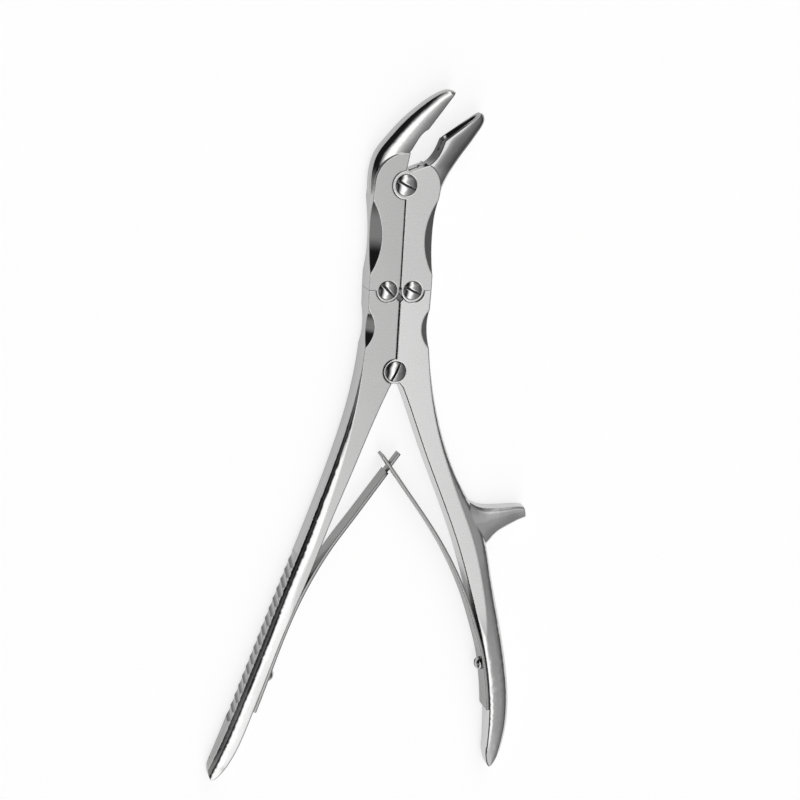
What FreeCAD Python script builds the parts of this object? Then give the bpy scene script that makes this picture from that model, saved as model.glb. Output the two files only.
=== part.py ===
import FreeCAD, Part
import math
import os

Vector = FreeCAD.Vector

# Double-action bone rongeur, lying on its back.
# X runs across the instrument, Y from the grips towards the jaws, Z up through its thickness.
# The origin is on the flat back face, under the rear pivot. The handles are open against their stop.

# Driving dimensions in millimetres and degrees, with what each one is
SIZES = (
    ("plate_thickness", 10.4, "joint plates, ground flat on both sides"),
    ("ear_thickness", 3.4, "each of the two ears of a forked joint"),
    ("side_gap", 0.1, "play between a tongue and each ear"),
    ("edge_gap", 0.14, "play round an eye and along the level seams"),
    ("middle_gap", 0.34, "seam between the left and the right pieces"),
    ("link_offset", 4.85, "link pivot from the middle line"),
    ("link_height", 31.3, "link pivots above the rear pivot"),
    ("front_height", 71.0, "front pivot above the rear pivot"),
    ("front_eye_radius", 5.3, "eye round the front pivot"),
    ("link_eye_radius", 4.45, "eye round each link pivot"),
    ("rear_eye_radius", 4.85, "eye round the rear pivot"),
    ("front_head_radius", 3.95, "front pivot screw's head"),
    ("link_head_radius", 3.45, "link screws' heads"),
    ("rear_head_radius", 3.8, "rear pivot screw's head"),
    ("front_shank_radius", 2.3, "front pivot screw's shank"),
    ("link_shank_radius", 2.0, "link screws' shanks"),
    ("rear_shank_radius", 2.2, "rear pivot screw's shank"),
    ("running_play", 0.05, "radial play of a shank in a tongue"),
    ("front_play", 0.1, "radial play of the front pivot in its tongue"),
    ("head_play", 0.08, "radial play of a head in its counterbore"),
    ("head_sink", 1.7, "depth of a counterbore"),
    ("head_rim", 0.2, "straight edge of a head above the plate"),
    ("head_dome", 1.0, "rise of a head's dome"),
    ("front_slot_turn", -23.0, "turn of the front pivot screw's slot"),
    ("left_slot_turn", -42.0, "turn of the left link screw's slot"),
    ("right_slot_turn", -23.0, "turn of the right link screw's slot"),
    ("rear_slot_turn", 66.0, "turn of the rear pivot screw's slot"),
    ("slot_width", 0.7, "driver slot across a head"),
    ("slot_depth", 1.5, "driver slot, from the top of the dome"),
    ("link_half_width", 12.2, "plates' half width at the links"),
    ("front_half_width", 12.7, "plates' half width near the front pivot"),
    ("jaw_plate_radius", 12.0, "round top of the left jaw's plate"),
    ("jaw_scallop_radius", 36.0, "grinding wheel of the jaw plates' scallops"),
    ("jaw_scallop_depth", 2.75, "bite of that wheel into the plate's corner"),
    ("jaw_scallop_height", 51.0, "middle of those scallops above the rear pivot"),
    ("handle_scallop_radius", 14.0, "grinding wheel of the handles' scallops"),
    ("handle_scallop_depth", 2.1, "bite of that wheel"),
    ("handle_scallop_height", 16.8, "middle of those scallops"),
    ("jaw_opening", 19.0, "angle between the two bite lines at rest"),
    ("bite_start", 22.0, "heel of the bite from the front pivot"),
    ("bite_length", 16.5, "length of the bite"),
    ("bite_lean", 36.9, "lean of the closed bite's tip off the middle line"),
    ("heel_lean", 31.4, "lean of the closed bite's heel off the middle line"),
    ("heel_relief", 1.6, "how far the left heel stands back in degrees, so that the tips meet first"),
    ("cup_heel_radius", 3.5, "hollow of a cup at its heel"),
    ("cup_tip_radius", 2.0, "hollow of a cup at its tip"),
    ("cup_lift", 0.3, "height of the hollow's centre over the bite, in radii"),
    ("heel_groove_radius", 0.8, "groove that runs out of the right cup's heel"),
    ("throat_slot_radius", 9.2, "fork of the right jaw, open to the throat"),
    ("cup_inset", 2.6, "solid lip round the hollow at heel and tip"),
    ("rib_pitch", 4.15, "serrations on the left handle"),
    ("rib_wheel_radius", 3.6, "cutter of the serrations"),
    ("rib_depth", 0.62, "depth of the serrations"),
    ("rib_slant", 14.0, "slant of the serrations in degrees"),
    ("spring_thickness", 1.2, "leaf springs"),
    ("spring_foot_width", 9.2, "leaf springs at their feet"),
    ("spring_end_width", 6.6, "leaf springs where they cross"),
    ("tongue_width", 3.4, "left spring's narrow end"),
    ("tongue_length", 8.6, "that narrow end, from its tip back"),
    ("window_play", 0.35, "play of that end in the right spring's window, each side"),
    ("window_length", 9.0, "that window, along the spring"),
    ("window_bridge", 2.2, "metal left between the window and the spring's tip"),
    ("spring_seat_gap", 0.03, "between a spring's foot and its handle, and under its screw"),
    ("spring_screw_height", -122.0, "springs' screws, from the rear pivot"),
    ("spring_screw_head_radius", 3.1, "screws of the leaf springs"),
    ("spring_screw_shank_radius", 1.5, "their shanks"),
    ("spring_screw_rim", 0.35, "straight edge of their heads"),
    ("spring_screw_rise", 1.5, "their heads' height"),
    ("spring_screw_slot_depth", 0.9, "driver slot in those heads"),
    ("spring_screw_depth", 4.6, "depth of a shank in the handle"),
    ("back_corner_share", 0.45, "size of a grip's back corner, as a share of its front corner"),
    ("spur_side_height", 8.4, "finger spur at its root"),
    ("spur_end_height", 6.6, "finger spur at its end"),
)

RIB_COUNT = 17
FIRST_RIB_HEIGHT = -75.5
SHEET_NAME = "Sizes"
LEFT, RIGHT = -1, 1


def make_sheet(doc):
    sheet = doc.addObject("Spreadsheet::Sheet", SHEET_NAME)
    for row, (alias, value, note) in enumerate(SIZES, start=1):
        sheet.set(f"A{row}", alias)
        sheet.set(f"B{row}", str(value))
        sheet.set(f"C{row}", note)
        sheet.setAlias(f"B{row}", alias)
    doc.recompute()
    return sheet


class Builder:
    """Keeps the document and its sizes together, and adds named objects bound to them."""

    def __init__(self, doc):
        self.doc = doc
        self.sheet = make_sheet(doc)
        self.nodes = []

    def size(self, alias):
        return float(self.sheet.get(alias))

    def feature(self, name, shape):
        obj = self.doc.addObject("Part::Feature", name)
        obj.Shape = shape
        return obj

    def bind(self, obj, **links):
        for prop, text in links.items():
            obj.setExpression(prop.replace("__", "."), text)
        return obj

    def prism(self, name, wire, height="Sizes.plate_thickness"):
        outline = self.feature(name + "_outline", Part.Face(wire))
        solid = self.doc.addObject("Part::Extrusion", name)
        solid.Base = outline
        solid.DirMode = "Custom"
        solid.Dir = Vector(0, 0, 1)
        solid.Solid = True
        self.bind(solid, LengthFwd=height)
        return solid

    def cylinder(self, name, radius, bottom, height, x, y):
        solid = self.doc.addObject("Part::Cylinder", name)
        self.bind(
            solid,
            Radius=radius,
            Height=height,
            Placement__Base__x=x,
            Placement__Base__y=y,
            Placement__Base__z=bottom,
        )
        return solid

    def fuse(self, name, parts):
        solid = self.doc.addObject("Part::MultiFuse", name)
        solid.Shapes = parts
        return solid

    def cut(self, name, base, tools):
        tool = tools[0] if len(tools) == 1 else self.fuse(name + "_tools", tools)
        solid = self.doc.addObject("Part::Cut", name)
        solid.Base = base
        solid.Tool = tool
        return solid

    def loft(self, name, wires):
        """A smooth solid through closed wires, taken in the order that turns its faces outward."""
        sections = [self.feature(f"{name}_section_{i + 1}", wire) for i, wire in enumerate(wires)]
        solid = self.doc.addObject("Part::Loft", name)
        solid.Sections = sections
        solid.Solid = True
        solid.Ruled = False
        self.doc.recompute([solid])
        if solid.Shape.Volume < 0:
            solid.Sections = sections[::-1]
        return solid

    def node(self, obj, label):
        obj.Label = label
        self.nodes.append(obj)
        return obj


# Plane curves


def spline(points):
    curve = Part.BSplineCurve()
    curve.interpolate([Vector(x, y, 0) for x, y in points])
    return curve.toShape()


def line(start, end):
    return Part.makeLine(Vector(start[0], start[1], 0), Vector(end[0], end[1], 0))


def arc(start, middle, end):
    points = [Vector(x, y, 0) for x, y in (start, middle, end)]
    return Part.Arc(*points).toShape()


def polar(centre, radius, lean):
    """A point at a distance from a centre, leaning clockwise off the middle line."""
    angle = math.radians(lean)
    return centre[0] + radius * math.sin(angle), centre[1] + radius * math.cos(angle)


# Joint details, shared by all four pivots


def pivot(name, side=0):
    """Expressions and sizes of one pivot: its place, eye, head and shank."""
    if name == "front":
        return dict(x="0", y="Sizes.front_height", eye="Sizes.front_eye_radius", kind="front")
    if name == "rear":
        return dict(x="0", y="0", eye="Sizes.rear_eye_radius", kind="rear")
    x = f"{side} * Sizes.link_offset"
    return dict(x=x, y="Sizes.link_height", eye="Sizes.link_eye_radius", kind="link")


def ear_discs(kit, tag, at, eye):
    back = kit.cylinder(f"{tag}_ear_back", eye, "0", "Sizes.ear_thickness", at["x"], at["y"])
    front_z = "Sizes.plate_thickness - Sizes.ear_thickness"
    front = kit.cylinder(f"{tag}_ear_front", eye, front_z, "Sizes.ear_thickness", at["x"], at["y"])
    return [back, front]


def ear_seats(kit, tag, at):
    """Room for the other piece's ears, in a tongue piece."""
    eye = at["eye"] + " + Sizes.edge_gap"
    height = "Sizes.ear_thickness + Sizes.side_gap"
    back = kit.cylinder(f"{tag}_seat_back", eye, "0", height, at["x"], at["y"])
    front_z = "Sizes.plate_thickness - Sizes.ear_thickness - Sizes.side_gap"
    front = kit.cylinder(f"{tag}_seat_front", eye, front_z, height, at["x"], at["y"])
    return [back, front]


def tongue_disc(kit, tag, at):
    bottom = "Sizes.ear_thickness + Sizes.side_gap"
    height = "Sizes.plate_thickness - 2 * (Sizes.ear_thickness + Sizes.side_gap)"
    return kit.cylinder(f"{tag}_tongue", at["eye"], bottom, height, at["x"], at["y"])


def tongue_room(kit, tag, at):
    """The slot between a fork's two ears."""
    eye = at["eye"] + " + Sizes.edge_gap"
    height = "Sizes.plate_thickness - 2 * Sizes.ear_thickness"
    return kit.cylinder(f"{tag}_slot", eye, "Sizes.ear_thickness", height, at["x"], at["y"])


def fork_bores(kit, tag, at):
    """Threaded hole in the back ear, clear hole and counterbore in the front ear."""
    shank = f"Sizes.{at['kind']}_shank_radius"
    head = f"Sizes.{at['kind']}_head_radius + Sizes.head_play"
    thread = kit.cylinder(f"{tag}_thread", shank, "0", "Sizes.ear_thickness", at["x"], at["y"])
    front_z = "Sizes.plate_thickness - Sizes.ear_thickness"
    clear = kit.cylinder(
        f"{tag}_clear", shank + " + Sizes.running_play", front_z, "Sizes.ear_thickness", at["x"], at["y"]
    )
    sink_z = "Sizes.plate_thickness - Sizes.head_sink"
    sink = kit.cylinder(f"{tag}_sink", head, sink_z, "Sizes.head_sink", at["x"], at["y"])
    return [thread, clear, sink]


def tongue_bore(kit, tag, at, play="Sizes.running_play"):
    shank = f"Sizes.{at['kind']}_shank_radius + {play}"
    return kit.cylinder(f"{tag}_bore", shank, "0", "Sizes.plate_thickness", at["x"], at["y"])


# Ground details


def corner_scallops(kit, tag, side, radius, depth, half_width, height, angle=45.0):
    """A large wheel bites the front and back corners of a plate's outer side."""
    tools = []
    reach = radius - depth
    thickness = kit.size("plate_thickness")
    for end, z in (("front", thickness), ("back", 0.0)):
        tilt = math.radians(angle)
        up = 1 if z else -1
        outward = Vector(side * math.cos(tilt), 0, up * math.sin(tilt))
        along = Vector(-side * math.sin(tilt), 0, up * math.cos(tilt))
        centre = Vector(side * half_width, height, z) + outward * reach
        length = 3 * thickness
        wheel = Part.makeCylinder(radius, length, centre - along * (length / 2), along)
        tools.append(kit.feature(f"{tag}_scallop_{end}", wheel))
    return tools


# Forged arms


# An arm's section: shares of its width and of its half height, round from the outer edge
ARM_PROFILE = (
    (0.0, 0.0), (0.0, 0.36), (0.035, 0.58), (0.13, 0.76), (0.3, 0.91), (0.5, 0.99), (0.7, 0.99), (0.88, 0.9),
    (1.0, 0.55), (1.0, -0.55), (0.88, -0.9), (0.7, -0.99), (0.5, -0.99), (0.3, -0.91), (0.13, -0.76),
    (0.035, -0.58), (0.0, -0.36),
)
SPUR_PROFILE = (
    (0.0, 0.0), (0.02, 0.42), (0.12, 0.7), (0.34, 0.9), (0.6, 1.0), (0.84, 0.93), (0.97, 0.7), (1.0, 0.4),
    (1.0, -0.4), (0.97, -0.7), (0.84, -0.93), (0.6, -1.0), (0.34, -0.9), (0.12, -0.7), (0.02, -0.42),
)


def skin(rows, degree, knots, mults, periodic):
    """A smooth surface through section curves that are given by their poles."""
    centres = [sum(row, Vector()) * (1.0 / len(row)) for row in rows]
    reach = [0.0]
    for before, after in zip(centres, centres[1:]):
        reach.append(reach[-1] + (after - before).Length)
    grid = []
    for column in zip(*rows):
        rail = Part.BSplineCurve()
        rail.interpolate(list(column), Parameters=reach)
        grid.append(rail.getPoles())
    surface = Part.BSplineSurface()
    surface.buildFromPolesMultsKnots(
        grid, mults, rail.getMultiplicities(), knots, rail.getKnots(), periodic, False, degree, rail.Degree
    )
    return surface


def arm_loft(kit, name, stations, profile=ARM_PROFILE):
    """A forged arm: rounded sections from an outer to an inner point, skinned and capped."""
    mid_z = kit.size("plate_thickness") / 2
    curves = []
    for outer, inner, height in stations:
        start = Vector(outer[0], outer[1], mid_z)
        across = Vector(inner[0], inner[1], mid_z) - start
        rise = Vector(0, 0, height / 2)
        points = [start + across * u + rise * v for u, v in profile]
        curve = Part.BSplineCurve()
        steps = [float(i) for i in range(len(points) + 1)]
        curve.interpolate(points, PeriodicFlag=True, Parameters=steps)
        curves.append(curve)
    first = curves[0]
    rows = [curve.getPoles() for curve in curves]
    surface = skin(rows, first.Degree, first.getKnots(), first.getMultiplicities(), True)
    caps = [Part.Face(Part.Wire(curve.toShape())) for curve in (curves[0], curves[-1])]
    shell = Part.makeShell([surface.toShape()] + caps)
    shell.sewShape()
    solid = Part.Solid(Part.Shell(shell.Faces))
    if solid.Volume < 0:
        solid.reverse()
    return kit.feature(name, solid)


def bite_points(kit, side):
    """Heel and tip of one jaw's bite line, half the opening away from the closed bite."""
    centre = (0.0, kit.size("front_height"))
    half = side * kit.size("jaw_opening") / 2
    relief = kit.size("heel_relief") if side == LEFT else 0.0
    heel = polar(centre, kit.size("bite_start"), kit.size("heel_lean") - relief + half)
    tip_radius = kit.size("bite_start") + kit.size("bite_length")
    tip = polar(centre, tip_radius, kit.size("bite_lean") + half)
    return heel, tip


def bite_axes(kit, side):
    """Unit vectors along one jaw's bite and out of it, towards the other jaw."""
    heel, tip = bite_points(kit, side)
    along = Vector(tip[0] - heel[0], tip[1] - heel[1], 0).normalize()
    return along, Vector(along.y, -along.x, 0) * -side


def over_bite(kit, side, share, lift):
    """A point along the bite, lifted off it towards the other jaw."""
    heel, tip = bite_points(kit, side)
    x, y = between(heel, tip, share)
    out = bite_axes(kit, side)[1]
    return x + out.x * lift, y + out.y * lift


def between(start, end, share):
    return start[0] + (end[0] - start[0]) * share, start[1] + (end[1] - start[1]) * share


def cup_tool(kit, name, side):
    """The hollow of a cup: a cone with a ball at each end, laid over the bite line."""
    mid_z = kit.size("plate_thickness") / 2
    big = kit.size("cup_heel_radius")
    small = kit.size("cup_tip_radius")
    lift = kit.size("cup_lift")
    inset = kit.size("cup_inset") / kit.size("bite_length")
    first = Vector(*over_bite(kit, side, inset, lift * big), mid_z)
    last = Vector(*over_bite(kit, side, 1 - inset, lift * small), mid_z)
    along = last - first
    cone = Part.makeCone(big, small, along.Length, first, along)
    ball_heel = Part.makeSphere(big, first)
    ball_tip = Part.makeSphere(small, last)
    return kit.feature(name, cone.fuse([ball_heel, ball_tip]).removeSplitter())


def mouth_tool(kit, name, side, throat, beyond):
    """What lies past a jaw's throat wall and bite face, cut away to leave crisp rims."""
    heel, tip = bite_points(kit, side)
    past_tip = over_bite(kit, side, 1.4, 0.0)
    edges = [spline(throat + [heel]), line(heel, past_tip)]
    corners = [past_tip] + beyond + [throat[0]]
    edges += [line(a, b) for a, b in zip(corners, corners[1:])]
    face = Part.Face(Part.Wire(edges))
    margin = 1.0
    face.translate(Vector(0, 0, -margin))
    return kit.feature(name, face.extrude(Vector(0, 0, kit.size("plate_thickness") + 2 * margin)))


def left_jaw(kit):
    front = pivot("front")
    link = pivot("link", LEFT)
    gap = kit.size("edge_gap") / 2
    link_y = kit.size("link_height")
    link_x = -kit.size("link_offset")
    front_y = kit.size("front_height")
    seam = -kit.size("middle_gap") / 2
    low = -kit.size("link_half_width")
    high = -kit.size("front_half_width")
    top_radius = kit.size("jaw_plate_radius")
    crown = polar((0, front_y), top_radius, -35)
    crest = polar((0, front_y), top_radius, 4)
    shoulder = polar((0, front_y), top_radius, -90)
    side_points = [
        (low, link_y + gap), (low, link_y + 8), (low - 0.15, link_y + 22), (high + 0.1, front_y - 8),
    ]
    wire = Part.Wire(
        [
            line((link_x, link_y + gap), (low, link_y + gap)),
            spline(side_points + [shoulder]),
            arc(shoulder, crown, crest),
            line(crest, (-0.4, front_y + 5.2)),
            line((-0.4, front_y + 5.2), (seam, front_y)),
            line((seam, front_y), (seam, link_y + 1.2)),
            line((seam, link_y + 1.2), (link_x, link_y + gap)),
        ]
    )
    plate = kit.prism("left_jaw_plate", wire)
    past = 1.2
    stations = [
        ((high - 0.3, front_y - 4.0), (-2.0, front_y + 0.5), 9.2),
        ((high - 0.5, front_y + 4.0), (-0.4, front_y + 8.0), 9.2),
        ((-11.5, front_y + 11.0), (2.2, front_y + 12.0), 9.1),
        ((-7.3, front_y + 17.0), (5.2, front_y + 15.6), 8.9),
        ((-2.0, front_y + 23.1), over_bite(kit, LEFT, 0.0, past), 8.6),
        ((3.4, front_y + 28.1), over_bite(kit, LEFT, 0.3, past), 8.0),
        ((8.9, front_y + 32.3), over_bite(kit, LEFT, 0.6, past), 7.2),
        ((13.4, front_y + 34.7), over_bite(kit, LEFT, 0.86, past), 6.3),
        ((16.0, front_y + 35.2), over_bite(kit, LEFT, 0.96, past), 5.4),
        ((17.2, front_y + 34.9), over_bite(kit, LEFT, 1.01, past * 0.8), 4.0),
    ]
    throat = [crest, (2.3, front_y + 14.2), (4.3, front_y + 17.7)]
    mouth = mouth_tool(kit, "left_jaw_mouth", LEFT, throat, [(45.0, 120.0), (45.0, 77.0), (1.6, 77.0)])
    arm = arm_loft(kit, "left_jaw_arm", stations)
    blank = kit.fuse("left_jaw_blank", [plate, arm])
    cleared = kit.cut("left_jaw_cleared", blank, ear_seats(kit, "left_jaw_front", front))
    link_ears = ear_discs(kit, "left_jaw_link", link, link["eye"])
    forked = kit.fuse("left_jaw_forked", [cleared, tongue_disc(kit, "left_jaw_front", front)] + link_ears)
    tools = [mouth, tongue_room(kit, "left_jaw_link", link)]
    tools.append(tongue_bore(kit, "left_jaw_front", front, "Sizes.front_play"))
    tools += fork_bores(kit, "left_jaw_link", link)
    tools += corner_scallops(
        kit, "left_jaw", LEFT, kit.size("jaw_scallop_radius"), kit.size("jaw_scallop_depth"),
        kit.size("link_half_width"), kit.size("jaw_scallop_height"),
    )
    tools.append(cup_tool(kit, "left_jaw_cup", LEFT))
    kit.node(kit.cut("left_jaw_solid", forked, tools), "left_jaw")


THROAT_SLOT_START = 46.0
THROAT_SLOT_SPAN = 50.0


def throat_slot(kit, front):
    """Where the right jaw's fork opens into the throat, over the left jaw's tongue."""
    slot = kit.cylinder(
        "right_jaw_throat_slot", "Sizes.throat_slot_radius", "Sizes.ear_thickness",
        "Sizes.plate_thickness - 2 * Sizes.ear_thickness", front["x"], front["y"],
    )
    slot.Angle = THROAT_SLOT_SPAN
    slot.Placement.Rotation = FreeCAD.Rotation(Vector(0, 0, 1), THROAT_SLOT_START)
    return slot


def heel_groove(kit, throat):
    """The groove that runs out of the right cup's heel, down the throat wall."""
    radius = kit.size("heel_groove_radius")
    mid_z = kit.size("plate_thickness") / 2
    start = Vector(*over_bite(kit, RIGHT, 0.1, 0.0), mid_z)
    end = Vector(*between(throat[1], throat[2], 0.75), mid_z)
    run = end - start
    return kit.feature("right_jaw_heel_groove", Part.makeCylinder(radius, run.Length, start, run))


def right_jaw(kit):
    front = pivot("front")
    link = pivot("link", RIGHT)
    gap = kit.size("edge_gap") / 2
    link_y = kit.size("link_height")
    link_x = kit.size("link_offset")
    front_y = kit.size("front_height")
    seam = kit.size("middle_gap") / 2
    low = kit.size("link_half_width")
    high = kit.size("front_half_width")
    corner = (8.6, front_y + 7.6)
    side_points = [
        (low, link_y + gap), (low, link_y + 8), (low + 0.15, link_y + 22),
        (high, front_y - 6), (high + 0.6, front_y - 0.5), (high - 0.6, front_y + 4.2),
    ]
    wire = Part.Wire(
        [
            line((link_x, link_y + gap), (low, link_y + gap)),
            spline(side_points + [corner]),
            line(corner, (1.4, front_y + 4.9)),
            line((1.4, front_y + 4.9), (seam, front_y)),
            line((seam, front_y), (seam, link_y + 1.2)),
            line((seam, link_y + 1.2), (link_x, link_y + gap)),
        ]
    )
    plate = kit.prism("right_jaw_plate", wire)
    past = 1.3
    stations = [
        ((high + 1.2, front_y - 4.5), (3.0, front_y + 1.2), 9.2),
        ((high + 2.6, front_y + 0.2), (5.6, front_y + 5.8), 9.2),
        ((18.0, front_y + 5.6), (9.6, front_y + 11.2), 9.1),
        ((20.3, front_y + 9.4), (12.2, front_y + 15.0), 8.9),
        ((22.5, front_y + 12.6), over_bite(kit, RIGHT, 0.05, past), 8.7),
        ((25.3, front_y + 16.4), over_bite(kit, RIGHT, 0.35, past), 8.0),
        ((27.9, front_y + 20.2), over_bite(kit, RIGHT, 0.65, past), 7.2),
        ((29.6, front_y + 23.2), over_bite(kit, RIGHT, 0.88, past), 6.3),
        ((29.9, front_y + 25.0), over_bite(kit, RIGHT, 0.97, past), 5.4),
        ((29.6, front_y + 26.2), over_bite(kit, RIGHT, 1.02, past * 0.8), 4.0),
    ]
    throat = [corner, (11.3, front_y + 9.9), (13.3, front_y + 13.5)]
    beyond = [(25.0, 125.0), (-20.0, 110.0), (-20.0, 79.4), (7.0, 79.4)]
    mouth = mouth_tool(kit, "right_jaw_mouth", RIGHT, throat, beyond)
    arm = arm_loft(kit, "right_jaw_arm", stations)
    ears = ear_discs(kit, "right_jaw_front", front, front["eye"])
    ears += ear_discs(kit, "right_jaw_link", link, link["eye"])
    armed = kit.cut("right_jaw_armed", kit.fuse("right_jaw_blank", [plate, arm]), [mouth])
    forked = kit.fuse("right_jaw_forked", [armed] + ears)
    tools = [tongue_room(kit, "right_jaw_front", front), tongue_room(kit, "right_jaw_link", link)]
    tools += [throat_slot(kit, front), heel_groove(kit, throat)]
    tools += fork_bores(kit, "right_jaw_front", front)
    tools += fork_bores(kit, "right_jaw_link", link)
    tools += corner_scallops(
        kit, "right_jaw", RIGHT, kit.size("jaw_scallop_radius"), kit.size("jaw_scallop_depth"),
        kit.size("link_half_width"), kit.size("jaw_scallop_height"),
    )
    tools.append(cup_tool(kit, "right_jaw_cup", RIGHT))
    kit.node(kit.cut("right_jaw_solid", forked, tools), "right_jaw")


# Handles

# Outer and inner edges of each handle in plan, from the link down to the grip's end
LEFT_OUTER = [
    (-12.2, 15.0), (-13.1, 3.0), (-15.7, -12.0), (-19.6, -27.0), (-24.6, -43.0), (-30.4, -60.0),
    (-38.4, -82.5), (-46.1, -104.5), (-53.2, -125.0), (-60.2, -144.0), (-64.9, -156.0),
]
LEFT_TIP = [
    (-64.9, -156.0), (-65.9, -161.0), (-64.2, -164.8), (-61.6, -162.8), (-57.8, -157.0),
]
LEFT_INNER = [
    (-57.8, -157.0), (-54.2, -149.5), (-50.6, -139.5), (-45.0, -123.0), (-40.6, -109.6),
    (-35.4, -95.5), (-30.2, -82.0), (-22.6, -60.0), (-15.6, -41.5), (-8.8, -23.0), (-2.0, -6.2),
]
RIGHT_OUTER = [
    (12.2, 15.0), (13.1, 5.0), (15.2, -6.0), (18.0, -17.0), (22.3, -30.0), (28.0, -43.5),
    (34.2, -53.5), (39.2, -63.0), (42.6, -73.0), (45.0, -83.5), (47.6, -94.0), (51.6, -109.5),
    (55.0, -125.0), (56.8, -138.0), (56.7, -149.0), (55.0, -158.5),
]
RIGHT_TIP = [
    (55.0, -158.5), (52.9, -164.2), (50.6, -167.0), (49.0, -164.0), (48.5, -158.0),
]
RIGHT_INNER = [
    (48.5, -158.0), (48.5, -150.0), (48.1, -141.0), (46.9, -130.5), (45.0, -120.0), (42.0, -108.5),
    (38.6, -97.0), (35.0, -85.5), (31.0, -73.5), (26.3, -61.3), (21.4, -49.8), (16.6, -38.8),
    (11.8, -27.2), (7.0, -15.0), (3.3, -6.3),
]

# Crown stations: outer point, inner point, inset of the satin flat, how far the crown and the
# outer edge lie below the flat, and the size of the rounded outer corner
LEFT_CROWN = [
    ((-12.2, 10.0), (-0.5, 10.0), 0.2, 0.0, -0.6, 0.05),
    ((-13.3, 1.5), (-1.2, -3.5), 0.4, 0.0, 0.2, 0.35),
    ((-16.0, -13.0), (-6.6, -16.8), 1.5, 0.0, 0.6, 0.9),
    ((-21.1, -32.0), (-12.9, -34.9), 3.0, 0.0, 0.8, 1.3),
    ((-27.3, -51.0), (-19.6, -53.8), 4.2, 0.0, 0.9, 1.6),
    ((-33.2, -68.0), (-25.8, -70.8), 5.0, 0.0, 0.9, 1.9),
    ((-40.2, -87.0), (-32.8, -90.0), 6.2, 0.05, 0.95, 2.2),
    ((-48.1, -110.0), (-40.6, -112.8), 0.0, 0.2, 1.1, 2.4),
    ((-55.5, -131.0), (-48.2, -133.8), 0.0, 0.4, 1.4, 2.5),
    ((-61.7, -148.0), (-54.6, -151.5), 0.0, 0.8, 2.0, 2.5),
    ((-65.9, -158.5), (-59.3, -161.5), 0.0, 1.7, 3.0, 2.4),
    ((-68.3, -164.5), (-61.7, -167.5), 0.0, 3.4, 4.4, 2.4),
]
RIGHT_CROWN = [
    ((12.4, 10.0), (0.5, 10.0), 0.2, 0.0, -0.6, 0.05),
    ((13.8, 1.0), (1.6, -3.5), 0.4, 0.0, 0.2, 0.35),
    ((17.4, -15.0), (7.8, -18.4), 1.2, 0.0, 0.6, 0.8),
    ((22.4, -30.5), (13.6, -34.2), 1.7, 0.0, 0.8, 1.1),
    ((30.6, -47.5), (21.8, -52.8), 3.2, 0.0, 0.9, 1.3),
    ((40.2, -65.5), (28.4, -68.8), 5.6, 0.0, 1.0, 1.4),
    ((45.4, -85.0), (35.6, -87.5), 4.8, 0.0, 1.0, 1.6),
    ((49.5, -101.0), (40.2, -103.0), 6.2, 0.05, 1.1, 1.9),
    ((54.0, -120.0), (44.9, -121.6), 0.0, 0.2, 1.2, 2.2),
    ((56.8, -138.0), (47.8, -139.0), 0.0, 0.4, 1.5, 2.3),
    ((56.9, -150.0), (48.4, -150.5), 0.0, 0.9, 2.1, 2.3),
    ((55.6, -160.0), (48.6, -160.5), 0.0, 1.9, 3.0, 2.3),
    ((54.4, -168.0), (48.4, -169.0), 0.0, 3.5, 4.5, 2.3),
]
CROWN_KNOTS = [0.0, 0.25, 0.5, 0.75, 1.0]
CROWN_MULTIPLICITIES = [3, 1, 1, 1, 3]


def crown_poles(kit, station, side):
    """Poles across a handle at one side's crown: round the outer corner, then a shallow parabola."""
    outer, inner, inset, crown_drop, edge_drop, corner = station
    half = kit.size("plate_thickness") / 2
    start = Vector(outer[0], outer[1], half)
    across = Vector(inner[0], inner[1], half) - start
    width = across.Length
    across.normalize()
    apex = 0.75 * width
    edge = half - edge_drop
    if inset:
        top = edge + max(edge_drop, 0.3) / (1 - (1 - inset / apex) ** 2)
    else:
        top = half - crown_drop

    def height(x):
        return edge + (top - edge) * (1 - (1 - x / apex) ** 2)

    def place(x, z):
        return start + across * x + Vector(0, 0, side * z)

    overhang = 0.0
    if side < 0:
        corner *= kit.size("back_corner_share")
        overhang = 0.65
    near = 2.4 * corner
    high = width + 1.5
    middle = (near + high) / 2
    slope = 2 * (top - edge) * (1 - near / apex) / apex
    turn = height(near) - slope * (near - 0.9 * corner)
    return [
        place(-0.25 * corner - overhang, turn - 2.6 * corner - 3 * overhang),
        place(-0.02 * corner, turn - 1.05 * corner),
        place(0.9 * corner, turn),
        place(near, height(near)),
        place(middle, height(near) + slope * (middle - near)),
        place(high, height(high)),
    ]


def crown_tools(kit, tag, stations):
    """What the crowned front and back leave off a handle's flat blank."""
    tools = []
    for end, side in (("front", 1), ("back", -1)):
        rows = [crown_poles(kit, station, side) for station in stations]
        surface = skin(rows, 2, CROWN_KNOTS, CROWN_MULTIPLICITIES, False)
        waste = surface.toShape().extrude(Vector(0, 0, side * 2 * kit.size("plate_thickness")))
        if waste.Volume < 0:
            waste.reverse()
        tools.append(kit.feature(f"{tag}_{end}_crown", waste))
    return tools


def handle_blank(kit, tag, side, outer, tip, inner):
    seam = side * kit.size("middle_gap") / 2
    link_y = kit.size("link_height")
    link_x = side * kit.size("link_offset")
    wide = side * kit.size("link_half_width")
    top = link_y - kit.size("edge_gap") / 2
    seam_top = link_y - 4.2
    corner = (seam, -kit.size("rear_eye_radius") * 0.55)
    wire = Part.Wire(
        [
            line((link_x, top), (wide, top)),
            spline([(wide, top)] + outer),
            spline(tip),
            spline(inner),
            line(inner[-1], corner),
            line(corner, (seam, seam_top)),
            line((seam, seam_top), (link_x, top)),
        ]
    )
    return kit.prism(f"{tag}_blank", wire)


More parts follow.
